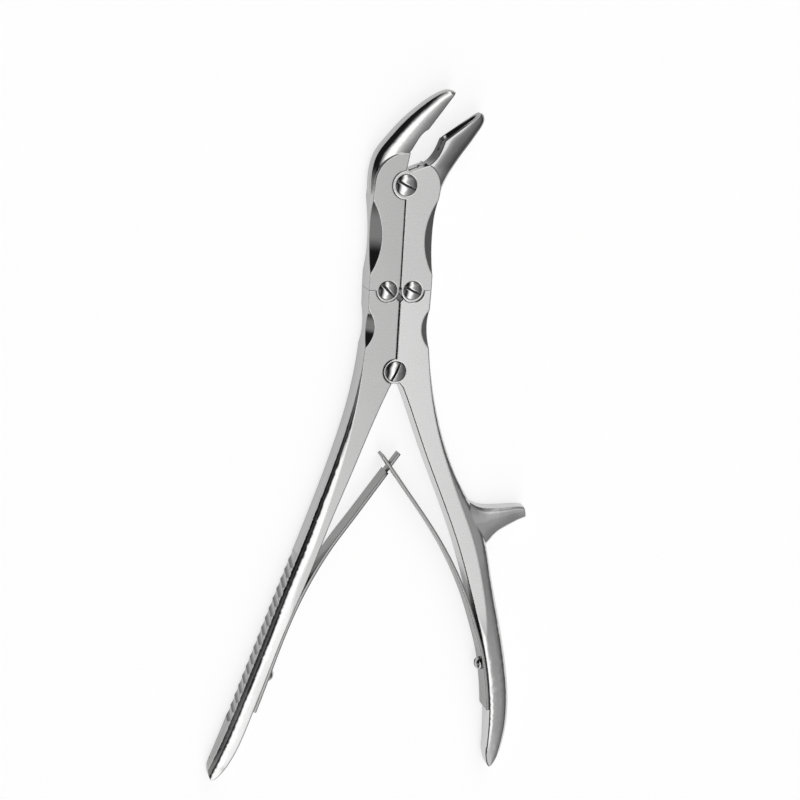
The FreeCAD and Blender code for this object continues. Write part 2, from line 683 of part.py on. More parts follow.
def seat_frame(kit, inner, height):
    """Point on a handle's inner edge at a given height, and the normal that leaves the handle there."""
    curve = spline(inner).Curve
    reach = 3 * kit.size("front_height")
    level = Part.makeLine(Vector(-reach, height, 0), Vector(reach, height, 0)).Curve
    crossing = curve.intersect(level)[0]
    tangent = Vector(*curve.tangent(curve.parameter(Vector(crossing.X, crossing.Y, 0)))[0])
    normal = Vector(tangent.y, -tangent.x, 0).normalize()
    if normal.x * crossing.X > 0:
        normal = -normal
    return Vector(crossing.X, crossing.Y, kit.size("plate_thickness") / 2), normal


def spring_screw_axis(kit, inner):
    return seat_frame(kit, inner, kit.size("spring_screw_height"))


def spring_screw_hole(kit, tag, inner):
    base, normal = spring_screw_axis(kit, inner)
    depth = kit.size("spring_screw_depth")
    overshoot = 1.5
    hole = Part.makeCylinder(
        kit.size("spring_screw_shank_radius"), depth + overshoot, base + normal * overshoot, normal * -1
    )
    return kit.feature(f"{tag}_spring_hole", hole)


def rib_tools(kit):
    """Slanted concave grooves across the left handle's outer side."""
    edge = spline([(-kit.size("link_half_width"), kit.size("link_height"))] + LEFT_OUTER + LEFT_TIP[1:2])
    curve = edge.Curve
    start = curve.parameter(Vector(-36.0, FIRST_RIB_HEIGHT, 0))
    offset = curve.length(curve.FirstParameter, start)
    radius = kit.size("rib_wheel_radius")
    depth = kit.size("rib_depth")
    mid_z = kit.size("plate_thickness") / 2
    slant = math.radians(kit.size("rib_slant"))
    length = 3 * kit.size("plate_thickness")
    tools = []
    for index in range(round(RIB_COUNT)):
        place = curve.parameterAtDistance(offset + index * kit.size("rib_pitch"), curve.FirstParameter)
        point = curve.value(place)
        tangent = Vector(*curve.tangent(place)[0])
        outward = Vector(tangent.y, -tangent.x, 0)
        if outward.x > 0:
            outward = -outward
        axis = Vector(0, 0, math.cos(slant)) + tangent * math.sin(slant)
        centre = Vector(point.x, point.y, mid_z) + outward * (radius - depth)
        wheel = Part.makeCylinder(radius, length, centre - axis * (length / 2), axis)
        tools.append(kit.feature(f"left_handle_groove_{index + 1}", wheel))
    return tools


def left_handle(kit):
    rear = pivot("rear")
    link = pivot("link", LEFT)
    blank = handle_blank(kit, "left_handle", LEFT, LEFT_OUTER, LEFT_TIP, LEFT_INNER)
    seats = ear_seats(kit, "left_handle_link", link) + ear_seats(kit, "left_handle_rear", rear)
    shaped = kit.cut("left_handle_shaped", blank, seats + crown_tools(kit, "left_handle", LEFT_CROWN))
    joined = kit.fuse(
        "left_handle_joined",
        [shaped, tongue_disc(kit, "left_handle_link", link), tongue_disc(kit, "left_handle_rear", rear)],
    )
    tools = [tongue_bore(kit, "left_handle_link", link), tongue_bore(kit, "left_handle_rear", rear)]
    tools += corner_scallops(
        kit, "left_handle", LEFT, kit.size("handle_scallop_radius"), kit.size("handle_scallop_depth"),
        kit.size("link_half_width"), kit.size("handle_scallop_height"),
    )
    tools.append(spring_screw_hole(kit, "left_handle", LEFT_INNER))
    tools += rib_tools(kit)
    kit.node(kit.cut("left_handle_solid", joined, tools), "left_handle")


def spur(kit):
    root = kit.size("spur_side_height")
    end = kit.size("spur_end_height")
    stations = [
        ((33.0, -74.0), (29.0, -47.5), root + 1.0),
        ((40.5, -73.5), (34.4, -53.2), root + 0.9),
        ((43.4, -70.6), (38.6, -55.4), root + 0.4),
        ((46.2, -67.2), (43.4, -56.0), root),
        ((50.2, -64.6), (49.0, -55.9), 0.6 * root + 0.4 * end),
        ((55.0, -62.2), (54.2, -55.7), end),
        ((58.3, -60.9), (57.0, -56.0), end * 0.94),
    ]
    return arm_loft(kit, "right_handle_spur", stations, SPUR_PROFILE)


def right_handle(kit):
    rear = pivot("rear")
    link = pivot("link", RIGHT)
    blank = handle_blank(kit, "right_handle", RIGHT, RIGHT_OUTER, RIGHT_TIP, RIGHT_INNER)
    seats = ear_seats(kit, "right_handle_link", link)
    shaped = kit.cut("right_handle_shaped", blank, seats + crown_tools(kit, "right_handle", RIGHT_CROWN))
    joined = kit.fuse(
        "right_handle_joined",
        [shaped, spur(kit), tongue_disc(kit, "right_handle_link", link)]
        + ear_discs(kit, "right_handle_rear", rear, rear["eye"]),
    )
    tools = [tongue_bore(kit, "right_handle_link", link), tongue_room(kit, "right_handle_rear", rear)]
    tools += fork_bores(kit, "right_handle_rear", rear)
    tools += corner_scallops(
        kit, "right_handle", RIGHT, kit.size("handle_scallop_radius"), kit.size("handle_scallop_depth"),
        kit.size("link_half_width"), kit.size("handle_scallop_height"),
    )
    tools.append(spring_screw_hole(kit, "right_handle", RIGHT_INNER))
    kit.node(kit.cut("right_handle_solid", joined, tools), "right_handle")


# Screws


def pivot_screw(kit, label, at, turn_alias):
    """A domed slotted screw: shank through the joint, head sunk in the front ear."""
    kind = at["kind"]
    shank_z = "Sizes.plate_thickness - Sizes.head_sink"
    shank = kit.cylinder(f"{label}_shank", f"Sizes.{kind}_shank_radius", "0", shank_z, at["x"], at["y"])
    rim = "Sizes.head_sink + Sizes.head_rim"
    head = kit.cylinder(f"{label}_rim", f"Sizes.{kind}_head_radius", shank_z, rim, at["x"], at["y"])
    radius = f"Sizes.{kind}_head_radius"
    ball_radius = f"({radius} * {radius} + Sizes.head_dome * Sizes.head_dome) / (2 * Sizes.head_dome)"
    ball = kit.doc.addObject("Part::Sphere", f"{label}_ball")
    top_z = "Sizes.plate_thickness + Sizes.head_rim"
    kit.bind(
        ball,
        Radius=ball_radius,
        Placement__Base__x=at["x"],
        Placement__Base__y=at["y"],
        Placement__Base__z=f"{top_z} + Sizes.head_dome - {ball_radius}",
    )
    post = kit.cylinder(f"{label}_post", radius, top_z, "2 * Sizes.head_dome", at["x"], at["y"])
    dome = kit.doc.addObject("Part::Common", f"{label}_dome")
    dome.Base = ball
    dome.Tool = post
    blank = kit.fuse(f"{label}_blank", [shank, head, dome])
    slot = kit.doc.addObject("Part::Box", f"{label}_slot")
    kit.bind(slot, Length=f"4 * {radius}", Width="Sizes.slot_width", Height="2 * Sizes.slot_depth")
    turn = kit.size(turn_alias)
    angle = math.radians(turn)
    half_long = f"2 * {radius}"
    half_wide = "Sizes.slot_width / 2"
    cos, sin = math.cos(angle), math.sin(angle)
    slot.Placement.Rotation = FreeCAD.Rotation(Vector(0, 0, 1), turn)
    kit.bind(
        slot,
        Placement__Base__x=f"{at['x']} - {cos:.6f} * {half_long} + {sin:.6f} * {half_wide}",
        Placement__Base__y=f"{at['y']} - {sin:.6f} * {half_long} - {cos:.6f} * {half_wide}",
        Placement__Base__z=f"{top_z} + Sizes.head_dome - Sizes.slot_depth",
    )
    kit.node(kit.cut(f"{label}_solid", blank, [slot]), label)


def spring_screw(kit, label, inner, side):
    """A domed slotted screw whose head clamps a leaf spring's foot to the handle."""
    base, normal = spring_screw_axis(kit, inner)
    shank = kit.size("spring_screw_shank_radius")
    head = kit.size("spring_screw_head_radius")
    rise = kit.size("spring_screw_rise")
    depth = kit.size("spring_screw_depth")
    leaf = kit.size("spring_thickness") + 2 * kit.size("spring_seat_gap")
    rim = kit.size("spring_screw_rim")
    foot = base - normal * depth
    seat = base + normal * leaf
    stem = Part.makeCylinder(shank, depth + leaf, foot, normal)
    ring = Part.makeCylinder(head, rim, seat, normal)
    dome_height = rise - rim
    ball_radius = (head**2 + dome_height**2) / (2 * dome_height)
    ball = Part.makeSphere(ball_radius, seat + normal * (rise - ball_radius))
    post = Part.makeCylinder(head, 2 * dome_height, seat + normal * rim, normal)
    solid = stem.fuse([ring, ball.common(post)]).removeSplitter()
    wide = kit.size("slot_width")
    slot_floor = rise - kit.size("spring_screw_slot_depth")
    slot = Part.makeBox(4 * head, wide, rise, Vector(-2 * head, -wide / 2, slot_floor))
    turn = FreeCAD.Rotation(Vector(0, 0, 1), normal)
    twist = FreeCAD.Rotation(Vector(0, 0, 1), 35 * side)
    slot.Placement = FreeCAD.Placement(seat, turn.multiply(twist))
    kit.node(kit.feature(f"{label}_solid", solid.cut(slot)), label)


# Leaf springs

# Heights at which each foot lies on its handle, then the middle line in plan to the free end
LEFT_SEAT = [-136.0, -127.0, -118.0, -109.0, -100.5]
LEFT_SPRING = [
    (-33.3, -92.3), (-27.6, -80.6), (-20.8, -69.2), (-14.0, -59.7), (-7.0, -49.8), (0.8, -38.8),
    (4.6, -33.4),
]
RIGHT_SEAT = [-141.0, -133.0, -125.0, -117.0]
RIGHT_SPRING = [
    (40.3, -106.4), (36.2, -95.0), (29.8, -81.2), (22.5, -68.6), (15.9, -58.9), (8.8, -49.2),
    (0.8, -38.2), (-2.4, -33.8),
]
LEAF_SECTION_COUNT = 25


def path_frames(points, count):
    """Points and unit tangents spaced evenly along a smooth path."""
    curve = spline(points).Curve
    total = curve.length()
    frames = []
    for index in range(round(count)):
        place = curve.parameterAtDistance(total * index / (count - 1), curve.FirstParameter)
        frames.append((curve.value(place), Vector(*curve.tangent(place)[0]), total * index / (count - 1)))
    return frames, total


def leaf_section(kit, point, tangent, width):
    mid_z = kit.size("plate_thickness") / 2
    normal = Vector(-tangent.y, tangent.x, 0) * (kit.size("spring_thickness") / 2)
    rise = Vector(0, 0, width / 2)
    centre = Vector(point.x, point.y, mid_z)
    corners = [centre + normal + rise, centre - normal + rise, centre - normal - rise, centre + normal - rise]
    return Part.makePolygon(corners + corners[:1])


def leaf_loft(kit, name, frames, widths):
    wires = [leaf_section(kit, point, tangent, width) for (point, tangent, _), width in zip(frames, widths)]
    return kit.loft(name, wires)


def leaf_path(kit, seat, free, inner):
    """Middle line of a spring: laid on the handle's inner edge, then free to its tip."""
    lift = kit.size("spring_thickness") / 2 + kit.size("spring_seat_gap")
    points = []
    for height in seat:
        base, normal = seat_frame(kit, inner, height)
        laid = base + normal * lift
        points.append((laid.x, laid.y))
    return points + free


def end_box(kit, name, tip, along, near, far, bottom, top):
    """A block across a spring, between two distances back from its tip."""
    wide = 8.0
    block = Part.makeBox(wide, far - near, top - bottom, Vector(-wide / 2, -far, bottom))
    turn = FreeCAD.Rotation(Vector(0, 1, 0), along)
    block.Placement = FreeCAD.Placement(Vector(tip.x, tip.y, kit.size("plate_thickness") / 2), turn)
    return kit.feature(name, block)


def leaf_spring(kit, label, path, inner, side):
    frames, total = path_frames(path, LEAF_SECTION_COUNT)
    foot = kit.size("spring_foot_width")
    end = kit.size("spring_end_width")
    half_tongue = kit.size("tongue_width") / 2
    widths = [foot + (end - foot) * run / total for _, _, run in frames]
    leaf = leaf_loft(kit, f"{label}_leaf", frames, widths)
    hole_base, normal = spring_screw_axis(kit, inner)
    hole_radius = kit.size("spring_screw_shank_radius") + kit.size("running_play")
    reach = 5 * kit.size("spring_thickness")
    hole = Part.makeCylinder(hole_radius, 2 * reach, hole_base - normal * reach, normal)
    tools = [kit.feature(f"{label}_hole", hole)]
    tip, along, _ = frames[-1]
    if side == LEFT:
        length = kit.size("tongue_length")
        tools.append(end_box(kit, f"{label}_front_relief", tip, along, -length, length, half_tongue, foot))
        tools.append(end_box(kit, f"{label}_back_relief", tip, along, -length, length, -foot, -half_tongue))
    else:
        near = kit.size("window_bridge")
        half_window = half_tongue + kit.size("window_play")
        far = near + kit.size("window_length")
        tools.append(end_box(kit, f"{label}_window", tip, along, near, far, -half_window, half_window))
    kit.node(kit.cut(f"{label}_solid", leaf, tools), label)


def export(kit):
    kit.doc.recompute()
    for obj in kit.doc.Objects:
        if "Invalid" in obj.State or "Error" in obj.State:
            raise RuntimeError(f"{obj.Name} failed: {obj.State}")
    for obj in kit.nodes:
        if obj.Shape.isNull() or not obj.Shape.isValid():
            raise RuntimeError(f"{obj.Label} has no valid shape")
    os.makedirs("parts", exist_ok=True)
    for obj in kit.nodes:
        obj.Shape.exportStep(f"parts/{obj.Label}.step")
        box = obj.Shape.optimalBoundingBox()
        print(
            f"{obj.Label}: {len(obj.Shape.Solids)} solid, {obj.Shape.Volume:.0f} mm3, "
            f"x {box.XMin:.1f}..{box.XMax:.1f} y {box.YMin:.1f}..{box.YMax:.1f} "
            f"z {box.ZMin:.1f}..{box.ZMax:.1f}"
        )


def main():
    kit = Builder(FreeCAD.newDocument("bone_rongeur"))
    left_jaw(kit)
    right_jaw(kit)
    left_handle(kit)
    right_handle(kit)
    pivot_screw(kit, "front_pivot_screw", pivot("front"), "front_slot_turn")
    pivot_screw(kit, "left_link_screw", pivot("link", LEFT), "left_slot_turn")
    pivot_screw(kit, "right_link_screw", pivot("link", RIGHT), "right_slot_turn")
    pivot_screw(kit, "rear_pivot_screw", pivot("rear"), "rear_slot_turn")
    left_path = leaf_path(kit, LEFT_SEAT, LEFT_SPRING, LEFT_INNER)
    right_path = leaf_path(kit, RIGHT_SEAT, RIGHT_SPRING, RIGHT_INNER)
    leaf_spring(kit, "left_leaf_spring", left_path, LEFT_INNER, LEFT)
    leaf_spring(kit, "right_leaf_spring", right_path, RIGHT_INNER, RIGHT)
    spring_screw(kit, "left_spring_screw", LEFT_INNER, LEFT)
    spring_screw(kit, "right_spring_screw", RIGHT_INNER, RIGHT)
    export(kit)


main()
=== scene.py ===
import math

import bmesh
import bpy
from mathutils import Matrix, Vector


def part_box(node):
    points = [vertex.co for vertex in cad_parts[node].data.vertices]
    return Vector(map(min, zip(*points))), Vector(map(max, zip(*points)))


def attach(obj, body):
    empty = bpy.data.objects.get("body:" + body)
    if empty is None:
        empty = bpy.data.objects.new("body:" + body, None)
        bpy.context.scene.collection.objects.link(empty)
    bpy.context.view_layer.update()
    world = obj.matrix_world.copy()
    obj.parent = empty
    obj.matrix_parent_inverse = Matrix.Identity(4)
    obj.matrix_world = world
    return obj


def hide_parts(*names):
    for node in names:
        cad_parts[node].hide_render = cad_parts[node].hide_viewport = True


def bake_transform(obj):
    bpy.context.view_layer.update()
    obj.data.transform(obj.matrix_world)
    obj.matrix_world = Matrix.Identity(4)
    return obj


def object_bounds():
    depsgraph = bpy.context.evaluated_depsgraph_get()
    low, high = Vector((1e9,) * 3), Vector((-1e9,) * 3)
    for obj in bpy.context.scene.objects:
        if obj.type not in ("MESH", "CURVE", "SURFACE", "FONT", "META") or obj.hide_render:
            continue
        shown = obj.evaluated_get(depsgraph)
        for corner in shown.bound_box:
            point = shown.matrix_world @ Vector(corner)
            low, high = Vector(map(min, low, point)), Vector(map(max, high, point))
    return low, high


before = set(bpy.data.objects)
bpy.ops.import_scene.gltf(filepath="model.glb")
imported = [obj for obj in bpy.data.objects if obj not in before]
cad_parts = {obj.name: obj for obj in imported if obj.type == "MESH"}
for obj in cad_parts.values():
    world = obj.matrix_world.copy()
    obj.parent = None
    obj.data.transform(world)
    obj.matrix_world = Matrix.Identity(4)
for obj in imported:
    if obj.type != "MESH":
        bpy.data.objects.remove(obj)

# Bone rongeur in polished and satin steel, lying on its back on a white floor.
# Metres throughout, in the model's own frame: Y towards the jaws, Z out of the front face.

CAD_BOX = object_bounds()
MM = 0.001
FRONT_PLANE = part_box("left_handle")[1][2]
MIDDLE_PLANE = FRONT_PLANE / 2
WELD_DISTANCE = 0.001 * MM

# Camera: the photograph's angle, fitted to the four pivot screws
CAMERA_TARGET = Vector((5.56, -13.84, 0.0)) * MM
CAMERA_DIRECTION = Vector((-0.2821, 0.2421, 0.9284)).normalized()
CAMERA_DISTANCE = 760 * MM
CAMERA_ROLL = 0.0601
CAMERA_LENS = 88.5
CAMERA_SENSOR = 36.0
CAMERA_CLIP = 10 * MM

PIVOT_SCREWS = ("front_pivot_screw", "left_link_screw", "right_link_screw", "rear_pivot_screw")
SHARP_EDGE = math.radians(24)

# How rough each finish is, and how much that varies with the clouds and the grain
POLISH = 0.06
SATIN = 0.28
SCREW_POLISH = 0.1
SPRING_POLISH = 0.2
POLISH_SPREAD = (0.75, 1.35)
SATIN_SPREAD = (0.96, 1.04)
NOISE_BAND = (0.3, 0.7)

# Clouds, smears and brushed grain: how fine they are per metre, and how dark or deep
CLOUD_SCALE = 60
SMEAR_SCALE = 900
GRAIN_SCALE = 6000
BRUSHED_ACROSS = (0.06, 1.0, 1.0)
CLOUD_TONE = 0.93
GRAIN_DEPTH = 0.0003 * MM
SMEAR_SHARE = 0.12

# Ground flats: how near to the front or back plane, and where the satin fades into the grip
FLAT_DEPTH = 0.03 * MM
SATIN_END = -92 * MM
SATIN_FADE = 22 * MM

# Rounded edges
EDGE_ROUNDING = 0.6 * MM
HANDLE_EDGE_ROUNDING = 0.8 * MM
EDGE_SAMPLES = 8

# Crevices get painted shade: the reach that counts as near, the open share at which the shade is
# full or gone, and how dark it is
CREVICE_REACH = 1.5 * MM
HANDLE_CREVICE_REACH = 4 * MM
CREVICE_SHARES = (0.1, 0.75)
HANDLE_CREVICE_SHARES = (0.15, 0.6)
SCREW_CREVICE_SHARES = (0.35, 0.95)
CREVICE_PAINTED_SHADE = 0.1
CREVICE_SAMPLES = 8

# The right jaw beyond its plate gets a painted dark reflection of the dark side of the room
JAW_ARM = (74 * MM, 80 * MM)
JAW_ARM_PAINTED_REFLECTION = 0.6

# The right handle's inner edge gets a painted dark line, a painted reflection set by the way it
# faces
EDGE_LINE_SIDE = (-0.03, -0.15)
EDGE_LINE_RISE = (0.08, 0.3)
EDGE_LINE_PAINTED_TONE = 0.04

# The bite, where shade is painted into the steel between and inside the jaws' cups
MOUTH_CENTRE = Vector((13.5, 89.0, 5.2)) * MM
MOUTH_REACH = (8 * MM, 14 * MM)
MOUTH_RISE = (0.6, 0.93)
MOUTH_PAINTED_SHADE = 0.13
MOUTH_ROUGHNESS = 0.32

# Scallops on the right side: where they lie, which way they face, and how much flatter they look
SCALLOP_SIDE = 8 * MM
SCALLOP_SPAN = (7 * MM, 67 * MM)
SCALLOP_STEEPEST = (0.3, 0.5)
SCALLOP_FLATTEST = (0.83, 0.93)
SCALLOP_LIFT = 0.5

# Serrations on the left grip: where they lie, which way they face, and the painted shade on their
# dark side
SERRATED_BELOW = -72 * MM
SERRATED_LEFT_OF = -28 * MM
SERRATED_RISE = (0.35, 0.6)
SERRATION_LEAN = (0.05, 0.85)
SERRATION_PAINTED_SHADE = 0.3


# Nodes


class Shader:
    """The node tree of a material or world, with short calls to add and join nodes."""

    def __init__(self, owner):
        self.owner = owner
        owner.use_nodes = True
        self.tree = owner.node_tree
        self.tree.nodes.clear()

    def add(self, kind, settings=None, **inputs):
        node = self.tree.nodes.new("ShaderNode" + kind)
        for key, value in (settings or {}).items():
            setattr(node, key, value)
        for key, value in inputs.items():
            self.feed(node.inputs[key.replace("_", " ")], value)
        return node

    def feed(self, socket, value):
        if hasattr(value, "is_output"):
            self.tree.links.new(value, socket)
        else:
            socket.default_value = value

    def math(self, operation, first, second=0.0):
        node = self.add("Math", {"operation": operation})
        self.feed(node.inputs[0], first)
        self.feed(node.inputs[1], second)
        return node.outputs[0]

    def product(self, first, *others):
        for other in others:
            first = self.math("MULTIPLY", first, other)
        return first

    def vector(self, operation, *vectors):
        node = self.add("VectorMath", {"operation": operation})
        for socket, item in zip(node.inputs, vectors):
            self.feed(socket, item)
        return node.outputs

    def mix(self, share, first, second):
        return self.add("MixRGB", Color1=first, Color2=second, Fac=share).outputs[0]

    def ramp(self, value, low, high, out_low=0.0, out_high=1.0, steps="SMOOTHSTEP"):
        """A step from one value to another, smooth or straight."""
        node = self.add("MapRange", {"interpolation_type": steps})
        for socket, item in zip(node.inputs, (value, low, high, out_low, out_high)):
            self.feed(socket, item)
        return node.outputs[0]

    def noise(self, coordinates, scale, detail, stretch=(1.0, 1.0, 1.0)):
        mapping = self.add("Mapping", Vector=coordinates)
        mapping.inputs["Scale"].default_value = stretch
        texture = self.add("TexNoise", Vector=mapping.outputs[0], Scale=scale, Detail=detail)
        return texture.outputs[0]

    def split(self, vector):
        node = self.add("SeparateXYZ", Vector=vector)
        return [node.outputs[axis] for axis in "XYZ"]

    def surface(self, shader, output="OutputMaterial"):
        self.tree.links.new(shader, self.add(output).inputs["Surface"])
        return self.owner


def shaded(colour, share=1.0):
    return (*[channel * share for channel in colour], 1)


# Steel


def level_face(shader, rise):
    """1 on the flats of the front and back planes, and 0 elsewhere."""
    off_middle = shader.math("ABSOLUTE", shader.math("SUBTRACT", rise, MIDDLE_PLANE))
    return shader.math("GREATER_THAN", off_middle, FRONT_PLANE - MIDDLE_PLANE - FLAT_DEPTH)


def ground_scallops(shader, place, facing):
    """The normal in the right side's scallops, which look flatter than a full chamfer."""
    across, along, _ = shader.split(place)
    rise = shader.split(facing)[2]
    mask = shader.product(
        shader.math("GREATER_THAN", across, SCALLOP_SIDE),
        shader.ramp(rise, *SCALLOP_STEEPEST),
        shader.ramp(rise, *SCALLOP_FLATTEST, 1.0, 0.0),
        shader.math("GREATER_THAN", along, SCALLOP_SPAN[0]),
        shader.math("LESS_THAN", along, SCALLOP_SPAN[1]),
    )
    lift = shader.add("CombineXYZ", Z=shader.product(mask, SCALLOP_LIFT))
    return shader.vector("NORMALIZE", shader.vector("ADD", facing, lift.outputs[0])[0])[0]


def serration_shade(shader, place, facing):
    """How much colour the steel keeps across each serration: painted shade on the side that faces
    the jaws.
    """
    across, along, _ = shader.split(place)
    _, lean, rise = shader.split(facing)
    side = shader.product(
        shader.ramp(shader.math("ABSOLUTE", rise), *SERRATED_RISE, 1.0, 0.0),
        shader.math("LESS_THAN", along, SERRATED_BELOW),
        shader.math("LESS_THAN", across, SERRATED_LEFT_OF),
    )
    shade_of_rib = shader.ramp(lean, *SERRATION_LEAN, 1.0, SERRATION_PAINTED_SHADE)
    return shader.ramp(side, 0.0, 1.0, 1.0, shade_of_rib)


def painted_arm_reflection(shader, along, flat):
    """How much colour the right jaw keeps: a painted dark reflection past its plate."""
    arm = shader.product(shader.ramp(along, *JAW_ARM), shader.math("SUBTRACT", 1.0, flat))
    return shader.ramp(arm, 0.0, 1.0, 1.0, JAW_ARM_PAINTED_REFLECTION)


def painted_edge_line(shader, facing):
    """How much colour the right handle keeps: a painted dark line along the edge that faces left.
    """
    side, _, rise = shader.split(facing)
    line = shader.product(shader.ramp(side, *EDGE_LINE_SIDE), shader.ramp(rise, *EDGE_LINE_RISE))
    return shader.ramp(line, 0.0, 1.0, 1.0, EDGE_LINE_PAINTED_TONE)


def inside_mouth(shader, place, facing):
    """1 in the cups and between the jaws, and 0 elsewhere."""
    distance = shader.vector("DISTANCE", place, MOUTH_CENTRE)["Value"]
    near = shader.ramp(distance, *MOUTH_REACH, 1.0, 0.0)
    return shader.product(near, shader.ramp(shader.split(facing)[2], *MOUTH_RISE, 1.0, 0.0))


def steel(
    name, colour, polish, satin=None, crevice=CREVICE_SHARES, reach=CREVICE_REACH,
    rounding=EDGE_ROUNDING, finish=(),
):
    """Steel that is polished, or ground satin where a face is level and above the grips.

    Crevices and the mouth get painted shade, and edges are slightly rounded.
    """
    shader = Shader(bpy.data.materials.new(name))
    place = shader.add("TexCoord").outputs["Object"]
    cloud = shader.noise(place, CLOUD_SCALE, 3)
    smear = shader.noise(place, SMEAR_SCALE, 2)
    roughness = shader.ramp(cloud, *NOISE_BAND, *[polish * share for share in POLISH_SPREAD])
    height = shader.product(smear, SMEAR_SHARE)
    if satin:
        _, along, rise = shader.split(place)
        flat = level_face(shader, rise)
        mask = shader.product(flat, shader.ramp(along, SATIN_END - SATIN_FADE, SATIN_END))
        grain = shader.noise(place, GRAIN_SCALE, 2, BRUSHED_ACROSS)
        ground = shader.ramp(grain, *NOISE_BAND, *[satin * share for share in SATIN_SPREAD])
        roughness = shader.ramp(mask, 0.0, 1.0, roughness, ground)
        height = shader.math("ADD", height, shader.product(grain, mask))
    facing = shader.add("Bevel", {"samples": EDGE_SAMPLES}, Radius=rounding).outputs[0]
    # The share of the colour kept where the finishes paint shade or dark reflections, 1 where none
    # is painted
    unshaded_share = 1.0
    if "scalloped" in finish:
        facing = ground_scallops(shader, place, facing)
    # Painted shade on the side of each serration that faces the jaws
    if "serrated" in finish:
        unshaded_share = serration_shade(shader, place, facing)
    # A painted dark reflection on the right jaw's arm
    if "painted arm reflection" in finish:
        unshaded_share = painted_arm_reflection(shader, along, flat)
    # A painted dark line along the right handle's left-facing edge
    if "painted edge line" in finish:
        unshaded_share = painted_edge_line(shader, facing)
    bump = shader.add("Bump", Height=height, Distance=GRAIN_DEPTH, Strength=1.0, Normal=facing)
    air = shader.add("AmbientOcclusion", {"samples": CREVICE_SAMPLES}, Distance=reach).outputs["AO"]
    shown = shader.mix(cloud, shaded(colour, CLOUD_TONE), shaded(colour))
    # Painted shade: a darker colour in crevices, where other surfaces are near
    shown = shader.mix(shader.ramp(air, *crevice), shaded(colour, CREVICE_PAINTED_SHADE), shown)
    # Painted shade in the bite, between and inside the jaws' cups
    mouth = inside_mouth(shader, place, facing)
    roughness = shader.ramp(mouth, 0.0, 1.0, roughness, MOUTH_ROUGHNESS)
    shown = shader.mix(mouth, shown, shaded(colour, MOUTH_PAINTED_SHADE))
    # Painted shade and painted dark reflections take the colour towards black
    shown = shader.mix(unshaded_share, (0, 0, 0, 1), shown)
    body = shader.add(
        "BsdfPrincipled", Base_Color=shown, Roughness=roughness, Normal=bump.outputs[0],
        Metallic=1.0,
    )
    return shader.surface(body.outputs[0])


# Finishes

LEFT_TONE = (0.57, 0.57, 0.567)
# The right jaw and right handle are the same steel as the left, painted lighter to stand in for the
# brighter light on the right side
RIGHT_JAW_PAINTED_LIGHT_TONE = (0.7, 0.7, 0.697)
RIGHT_HANDLE_PAINTED_LIGHT_TONE = (0.78, 0.78, 0.777)
SCREW_TONE = (0.58, 0.58, 0.577)
# The springs are painted darker to stand in for the shaded floor their sides mirror
SPRING_PAINTED_SHADE_TONE = (0.35, 0.35, 0.347)

FORGED_STEEL = {
    "left_jaw": steel("left_jaw_steel", LEFT_TONE, POLISH, SATIN),
    "right_jaw": steel(
        "right_jaw_steel", RIGHT_JAW_PAINTED_LIGHT_TONE, POLISH, SATIN, finish=("scalloped", "painted arm reflection")
    ),
    "left_handle": steel("left_handle_steel", LEFT_TONE, POLISH, SATIN, finish=("serrated",)),
    "right_handle": steel(
        "right_handle_steel", RIGHT_HANDLE_PAINTED_LIGHT_TONE, POLISH, SATIN,
        crevice=HANDLE_CREVICE_SHARES, reach=HANDLE_CREVICE_REACH,
        rounding=HANDLE_EDGE_ROUNDING, finish=("scalloped", "painted edge line"),
    ),
}
SCREW_STEEL = steel("screw_steel", SCREW_TONE, SCREW_POLISH, crevice=SCREW_CREVICE_SHARES)
SPRING_STEEL = steel("spring_steel", SPRING_PAINTED_SHADE_TONE, SPRING_POLISH)


def mesh_object(name, mesh):
    data = bpy.data.meshes.new(name)
    mesh.to_mesh(data)
    mesh.free()
    obj = bpy.data.objects.new(name, data)
    bpy.context.collection.objects.link(obj)
    return obj


def shade(obj, material):
    obj.data.materials.clear()
    obj.data.materials.append(material)
    obj.data.polygons.foreach_set("use_smooth", [True] * len(obj.data.polygons))
    obj.data.set_sharp_from_angle(angle=SHARP_EDGE)
    normals = obj.modifiers.new("normals", "WEIGHTED_NORMAL")
    normals.keep_sharp = True


for node_name, forged_steel in FORGED_STEEL.items():
    shade(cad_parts[node_name], forged_steel)
for node_name in PIVOT_SCREWS:
    shade(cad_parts[node_name], SCREW_STEEL)


# Leaf springs, cut into short lengths

SPRING_STEP = 2.5 * MM
LEVEL_ANGLE = math.radians(0.2)
SPRING_BENDS = {
    "left": (Vector((-36.0, -99.0, 5.2)) * MM, Vector((-10.0, -54.0, 5.2)) * MM),
    "right": (Vector((37.5, -99.0, 5.2)) * MM, Vector((10.0, -51.0, 5.2)) * MM),
}


def leaf_spring(side):
    node = f"{side}_leaf_spring"
    low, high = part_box(node)
    mesh = bmesh.new()
    mesh.from_mesh(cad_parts[node].data)
    bmesh.ops.remove_doubles(mesh, verts=mesh.verts, dist=WELD_DISTANCE)
    bmesh.ops.dissolve_limit(mesh, angle_limit=LEVEL_ANGLE, verts=mesh.verts, edges=mesh.edges)
    level = low[1] + SPRING_STEP
    while level < high[1]:
        everything = mesh.verts[:] + mesh.edges[:] + mesh.faces[:]
        bmesh.ops.bisect_plane(
            mesh, geom=everything, plane_co=(0, level, 0), plane_no=(0, 1, 0)
        )
        level += SPRING_STEP
    strip = mesh_object(f"{side}_spring_strip", mesh)
    shade(strip, SPRING_STEEL)
    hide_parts(node)
    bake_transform(strip)


for spring_side, (bend_start, bend_end) in SPRING_BENDS.items():
    leaf_spring(spring_side)


# Round slotted screws through the springs' feet: each seat, and the way its screw points

SPRING_SCREWS = {
    "left": (Vector((-44.67, -122.0, 5.2)) * MM, Vector((0.95, -0.311, 0.0))),
    "right": (Vector((45.43, -122.0, 5.2)) * MM, Vector((-0.98, -0.2, 0.0))),
}

